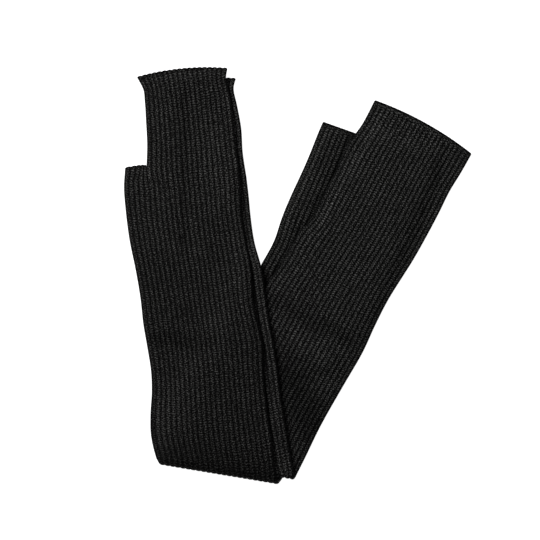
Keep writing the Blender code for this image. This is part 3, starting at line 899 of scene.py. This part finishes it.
# %% [markdown]
# ## The shell
#
# The shell is a few grids of faces that meet in shared points: the outside and the inside of the
# body, the outside and the inside of the hand section, and the rounded lip at each of the three
# mouths. Each point also gets a place in the pattern: its rib and its row of stitches. A Solidify
# modifier could give the cloth its thickness, but the ribs would then show on the inside as well,
# and the mouths would have square edges.

# %% Grids of the body and the hand section
ROW_SPACING = 3.2      # length between two rows of points on the outside
INSIDE_SPACING = 9.0   # and on the inside, which is plain
FOLD_ROW = 2.2         # and round the fold
FOLD_ROW_REACH = 4.0   # least radius that the number of rows round a fold is worked out from
CHAIN_ROW = 0.6        # length between rows at the bound-off edge


def rows_between(low, high, spacing):
    """List places from low to high, no further apart than the spacing."""
    return np.linspace(low, high, math.ceil((high - low) / spacing) + 1)


def body_grid(name, spacing, inside):
    """Give the points of the body from the thumb opening to the upper-arm mouth, and their lengths."""
    warmer = WARMERS[name]
    hand_end, arm_end = warmer["hand"]["stations"][-1], warmer["arm"]["stations"][-1] - LIP
    radius = warmer["full_radius"]
    hand_rows = np.concatenate([[0.0], rows_between(MOUTH_REACH / 2, hand_end, spacing)])
    angles = rows_between(0.0, math.pi, FOLD_ROW / max(radius + HALF, FOLD_ROW_REACH))
    arm_rows = rows_between(0.0, arm_end - 2 * CHAIN, spacing)
    arm_rows = np.concatenate([arm_rows, rows_between(arm_end - 2 * CHAIN, arm_end, CHAIN_ROW)[1:]])
    grids = [
        run_points(name, "hand", hand_rows, ring_marks, inside),
        fold_points(name, angles[1:-1], ring_marks, inside),
        run_points(name, "arm", arm_rows, ring_marks, inside)]
    along = np.concatenate([
        hand_rows, hand_end + angles[1:-1] * radius, hand_end + math.pi * radius + arm_rows])
    return np.concatenate(grids), along + warmer["section"]["stations"][-1]


def section_grid(name, spacing, inside):
    """Give the points of the hand section, from the hand mouth to the thumb opening."""
    end = WARMERS[name]["section"]["stations"][-1]
    rows = np.concatenate([[LIP], rows_between(LIP + MOUTH_REACH / 2, end, spacing)[:-1]])
    above = run_points(name, "section", rows, section_marks, inside)
    notch = run_points(name, "hand", [0.0], section_marks, inside)
    return np.concatenate([above, notch]), np.append(rows, end)


print("rows of points down the outer hand section:",
      len(section_grid("outer", ROW_SPACING, False)[1]))

# %% Rounded lips
LIP_ANGLES = np.radians([0, 30, 60, 90, 120, 150, 180])
SCALLOP = {"hand": 0.5, "thumb": 0.5, "arm": 0.12}   # how far a lip's ribs reach past its grooves
LEAST_STEP = 0.001                                   # keeps a step of no length from dividing by 0


def lip_grid(rows, inner_row, marks, scallop):
    """Give the rounded lip between the last rows of the outside and the inside at a mouth.

    rows holds the outside's last row and the one before it, which say where the mouth points.
    """
    out = rows[0] - rows[1]
    out[:, 2:4] = 0.0
    out = out / np.maximum(np.linalg.norm(out, axis=1, keepdims=True), LEAST_STEP)
    middle, half = (rows[0] + inner_row) / 2, (rows[0] - inner_row) / 2
    thick = np.linalg.norm(half[:, 0:3], axis=-1, keepdims=True)
    push = out * np.minimum(thick, LIP) * (1 + scallop * (ridge(marks)[:, None] - 0.5))
    return np.stack([middle + half * math.cos(a) + push * math.sin(a) for a in LIP_ANGLES])


print("faces from the outside to the inside of a lip:", len(LIP_ANGLES) - 1)

# %% Gather the grids of a shell


def shell_grids(name):
    """List the grids of one warmer, each with its points, ribs and lengths, and give its length."""
    outer_body, body_along = body_grid(name, ROW_SPACING, False)
    inner_body, inner_along = body_grid(name, INSIDE_SPACING, True)
    outer_section, section_along = section_grid(name, ROW_SPACING, False)
    inner_section, inner_section_along = section_grid(name, INSIDE_SPACING, True)
    grids = [
        (outer_body, ring_marks, body_along),
        (outer_section, section_marks, section_along),
        (inner_body[::-1], ring_marks, inner_along[::-1]),
        (inner_section[::-1], section_marks, inner_section_along[::-1])]
    lip = np.ones(len(LIP_ANGLES))
    hand_lip = lip_grid(outer_section[:2], inner_section[0], section_marks, SCALLOP["hand"])
    arm_lip = lip_grid(outer_body[:-3:-1], inner_body[-1], ring_marks, SCALLOP["arm"])
    thumb_lip = lip_grid(outer_body[:2], inner_body[0], ring_marks, SCALLOP["thumb"])
    grids.append((hand_lip[::-1], section_marks, lip * section_along[0]))
    grids.append((arm_lip, ring_marks, lip * body_along[-1]))
    for beside_seam in (ring_marks <= THUMB_RIBS, ring_marks >= 2 * RIBS - THUMB_RIBS):
        grids.append((thumb_lip[::-1, beside_seam], ring_marks[beside_seam], lip * body_along[0]))
    return grids, body_along[-1]


def join_grids(grids):
    """Join grids into one list of points, one of places in the pattern and one of faces."""
    points, places, faces = [], [], []
    total = 0
    for grid, marks, along in grids:
        rows, columns = grid.shape[:2]
        number = total + np.arange(rows * columns).reshape(rows, columns)
        quads = [number[:-1, :-1], number[:-1, 1:], number[1:, 1:], number[1:, :-1]]
        faces.append(np.stack(quads, axis=-1).reshape(-1, 4))
        points.append(grid.reshape(-1, 4))
        places.append(np.stack(np.meshgrid(marks, along), axis=-1).reshape(-1, 2))
        total += rows * columns
    return np.concatenate(points), np.concatenate(places), np.concatenate(faces)


patch = join_grids([(np.zeros((3, 4, 4)), np.arange(4.0), np.arange(3.0))])
print("a grid of 3 by 4 points becomes", len(patch[2]), "faces")

# %% Build a shell from its grids
WELD = 0.000004        # metres; the grids' shared points lie closer than this


def build_shell(name):
    """Build the mesh of one warmer, and give its object and its length."""
    grids, length = shell_grids(name)
    points, places, faces = join_grids(grids)
    light = points[:, 3]
    points = (points[:, 0:3] - [*FOOTPRINT_CENTRE, 0.0]) * MM

    data = bpy.data.meshes.new("knit_" + name)
    data.from_pydata(points.tolist(), [], faces.tolist())
    # the share of painted light and shade at each point, which the material multiplies with the yarn's
    # colour
    data.attributes.new("painted_light_and_shade", "FLOAT", "POINT").data.foreach_set("value", light)
    stitches = data.uv_layers.new(name="ribs_and_courses")
    corners = places[faces.ravel()] / [1.0, COURSE]
    stitches.data.foreach_set("uv", corners.ravel())
    mesh = bmesh.new()
    mesh.from_mesh(data)
    bmesh.ops.remove_doubles(mesh, verts=mesh.verts, dist=WELD)
    bmesh.ops.dissolve_degenerate(mesh, edges=mesh.edges, dist=WELD / 4)
    bmesh.ops.recalc_face_normals(mesh, faces=mesh.faces)
    open_edges = sum(not edge.is_manifold for edge in mesh.edges)
    volume = mesh.calc_volume(signed=True)
    print(data.name, "faces", len(mesh.faces), "open or doubled edges", open_edges,
          "volume in cubic mm", round(volume / MM**3))
    mesh.to_mesh(data)
    mesh.free()
    data.shade_smooth()
    shell = bpy.data.objects.new(data.name, data)
    bpy.context.scene.collection.objects.link(shell)
    return shell, length


# %% [markdown]
# ## The knit's finish
#
# The yarn is near-black and matt. Every rib is one column of stitches, and a stitch is two short strands
# that lean together like a V. The pattern is worked out from the rib and the row of stitches at each
# point, and goes into the colour and into the bump: painted shade between two strands and a painted
# highlight along each, each strand a little lighter or darker than the next, and fine noise for loose
# fibres, with painted glints where it is brightest. The painted shade of the grooves is in the share of
# light already. A picture of knitting could be laid on the cloth instead, but it would show its repeats,
# and it would have to be stretched to fit each rib.

# %% The stitch group's sockets, and helpers for its nodes
knit = bpy.data.node_groups.new("rib_knit_stitches_and_painted_light", "ShaderNodeTree")
knit.interface.new_socket("Pattern", in_out="INPUT", socket_type="NodeSocketVector")
# the second input carries the share of painted light and shade of each point
knit.interface.new_socket("Painted_shade_and_light", in_out="INPUT", socket_type="NodeSocketFloat")
knit.interface.new_socket("Light", in_out="OUTPUT", socket_type="NodeSocketFloat")
knit.interface.new_socket("Height", in_out="OUTPUT", socket_type="NodeSocketFloat")
knit_in, knit_out = knit.nodes.new("NodeGroupInput"), knit.nodes.new("NodeGroupOutput")
cloth_place = knit.nodes.new("ShaderNodeVectorMath")
cloth_place.operation = "MULTIPLY"
cloth_place.inputs[1].default_value = (RIB_PITCH, COURSE, 0.0)
knit.links.new(knit_in.outputs["Pattern"], cloth_place.inputs[0])


def calculate(operation, *values):
    """Add a Math node whose inputs are numbers or sockets, and give its output."""
    node = knit.nodes.new("ShaderNodeMath")
    node.operation = operation
    for socket, value in zip(node.inputs, values):
        if isinstance(value, (int, float)):
            socket.default_value = value
        else:
            knit.links.new(value, socket)
    return node.outputs[0]


def spread(value, old_range, new_range, kind="SMOOTHSTEP"):
    """Add a Map Range node that leads one range of values to another, and give its output."""
    node = knit.nodes.new("ShaderNodeMapRange")
    node.interpolation_type = kind
    knit.links.new(value, node.inputs["Value"])
    for socket, number in zip(("From Min", "From Max", "To Min", "To Max"), (*old_range, *new_range)):
        node.inputs[socket].default_value = number
    return node.outputs["Result"]


def cloth_noise(scale, detail=0.0):
    """Add a noise that lies in the cloth, with its scale in features for each millimetre."""
    node = knit.nodes.new("ShaderNodeTexNoise")
    node.noise_dimensions = "2D"
    node.inputs["Scale"].default_value = scale
    node.inputs["Detail"].default_value = detail
    knit.links.new(cloth_place.outputs[0], node.inputs["Vector"])
    return node.outputs["Fac"]


print("sockets of the stitch group:", [socket.name for socket in knit.interface.items_tree])

# %% Strands of each stitch
V_SLANT = 0.25         # how far a strand leans over, in rows of stitches
WOBBLE_SCALE = 0.2     # for each millimetre of cloth, as the scales below
WOBBLE = 0.4           # how far rows of stitches stray, in rows

split = knit.nodes.new("ShaderNodeSeparateXYZ")
knit.links.new(knit_in.outputs["Pattern"], split.inputs[0])
rib, course = split.outputs[0], split.outputs[1]
across_rib = calculate("FRACT", rib)
from_ridge = calculate("ABSOLUTE", calculate("MULTIPLY_ADD", across_rib, 2.0, -1.0))
strand_column = calculate("FLOOR", calculate("MULTIPLY", rib, 2.0))
column_lot = knit.nodes.new("ShaderNodeTexWhiteNoise")
column_lot.noise_dimensions = "1D"
knit.links.new(strand_column, column_lot.inputs["W"])
shifted = calculate("ADD", course, column_lot.outputs["Value"])
shifted = calculate("MULTIPLY_ADD", cloth_noise(WOBBLE_SCALE), WOBBLE, shifted)
leaning = calculate("MULTIPLY_ADD", from_ridge, V_SLANT, shifted)
strand = calculate("SINE", calculate("MULTIPLY", calculate("FRACT", leaning), math.pi))
strand_name = knit.nodes.new("ShaderNodeCombineXYZ")
knit.links.new(strand_column, strand_name.inputs[0])
knit.links.new(calculate("FLOOR", leaning), strand_name.inputs[1])
strand_lot = knit.nodes.new("ShaderNodeTexWhiteNoise")
strand_lot.noise_dimensions = "2D"
knit.links.new(strand_name.outputs[0], strand_lot.inputs["Vector"])
print("nodes for the strands:", len(knit.nodes))

# %% Light and height of the stitches
PAINTED_STRAND_LIGHT = (0.03, 1.78)   # painted shade between two strands and painted highlight along one, as shares of light
OWN_LIGHT = (0.75, 1.25)      # of a strand by its lot
FIBRE_SCALE = 1.0
FIBRE_RANGE = (0.33, 0.72)    # values of the fine noise that are spread over FIBRE_AND_GLINT_LIGHT
# light of the fine noise: loose fibres, with painted glints where it is brightest
FIBRE_AND_GLINT_LIGHT = (0.04, 2.65)
PATCH_SCALE = 0.045
PATCH_DETAIL = 3.0
PATCH_RANGE = (0.3, 0.7)
PATCH_LIGHT = (0.97, 1.03)
STRAND_HEIGHT = 0.35          # millimetres
FIBRE_HEIGHT = 0.25

fibres = cloth_noise(FIBRE_SCALE)
own_spread = OWN_LIGHT[1] - OWN_LIGHT[0]
# painted shade between strands and painted highlight along them, each strand's own tone, fibres with
# painted glints, broad patches and the painted light and shade of each point
light = spread(strand, (0.0, 1.0), PAINTED_STRAND_LIGHT)
for factor in (
        calculate("MULTIPLY_ADD", strand_lot.outputs["Value"], own_spread, OWN_LIGHT[0]),
        spread(fibres, FIBRE_RANGE, FIBRE_AND_GLINT_LIGHT),
        spread(cloth_noise(PATCH_SCALE, PATCH_DETAIL), PATCH_RANGE, PATCH_LIGHT, "LINEAR"),
        knit_in.outputs["Painted_shade_and_light"]):
    light = calculate("MULTIPLY", light, factor)
knit.links.new(light, knit_out.inputs["Light"])
strand_height = calculate("MULTIPLY", strand, STRAND_HEIGHT)
knit_height = calculate("MULTIPLY_ADD", fibres, FIBRE_HEIGHT, strand_height)
knit.links.new(knit_height, knit_out.inputs["Height"])
print("nodes in the stitch group:", len(knit.nodes))

# %% Material of each warmer
YARN_DARK = (0.0004, 0.0004, 0.0004)
ROUGHNESS = 0.85
SHEEN = 0.03
SHEEN_ROUGHNESS = 0.5


def knit_material(name, yarn):
    """Make the knit's material around the stitch group, with the yarn's own colour."""
    material = bpy.data.materials.new(name)
    material.use_nodes = True
    tree = material.node_tree
    surface = tree.nodes["Principled BSDF"]
    surface.inputs["Roughness"].default_value = ROUGHNESS
    surface.inputs["Specular IOR Level"].default_value = 0.0
    surface.inputs["Sheen Weight"].default_value = SHEEN
    surface.inputs["Sheen Roughness"].default_value = SHEEN_ROUGHNESS
    pattern = tree.nodes.new("ShaderNodeUVMap")
    pattern.uv_map = "ribs_and_courses"
    # reads the share of painted light and shade of each point
    shade = tree.nodes.new("ShaderNodeAttribute")
    shade.attribute_name = "painted_light_and_shade"
    stitches = tree.nodes.new("ShaderNodeGroup")
    stitches.node_tree = knit
    tree.links.new(pattern.outputs[0], stitches.inputs["Pattern"])
    tree.links.new(shade.outputs["Fac"], stitches.inputs["Painted_shade_and_light"])
    colour = tree.nodes.new("ShaderNodeMix")
    colour.data_type = "RGBA"
    colour.clamp_factor = False
    tree.links.new(stitches.outputs["Light"], colour.inputs["Factor"])
    colour.inputs["A"].default_value = (*YARN_DARK, 1.0)
    colour.inputs["B"].default_value = (*yarn, 1.0)
    tree.links.new(colour.outputs["Result"], surface.inputs["Base Color"])
    bump = tree.nodes.new("ShaderNodeBump")
    bump.inputs["Distance"].default_value = MM   # the heights above are in millimetres
    bump.inputs["Strength"].default_value = 1.0
    tree.links.new(stitches.outputs["Height"], bump.inputs["Height"])
    tree.links.new(bump.outputs["Normal"], surface.inputs["Normal"])
    return material


print("sheen of the nap:", SHEEN, "and roughness:", ROUGHNESS)

# %% [markdown]
# ## The two warmers
#
# The inner warmer lies on the outer one's arm run, and the outer one's hand run lies on top of
# both. Each shell stands for its solid. As cut, each is one tube that measures twice the flat
# width round, and the thumb opening takes a narrow strip off it.

# %% Make the pair
# The outer warmer has the yarn's own colour. The inner one is the same yarn set lighter as painted
# light, because its diagonal ribs catch more of the key light.
YARN_COLOURS_AND_PAINTED_LIGHT = {"outer": (0.0158, 0.0158, 0.0153), "inner": (0.0190, 0.0190, 0.0185)}
for name, warmer in WARMERS.items():
    shell, length = build_shell(name)
    shell.data.materials.append(knit_material("knit_" + name, YARN_COLOURS_AND_PAINTED_LIGHT[name]))
    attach(shell, "root")
    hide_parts(warmer["node"])
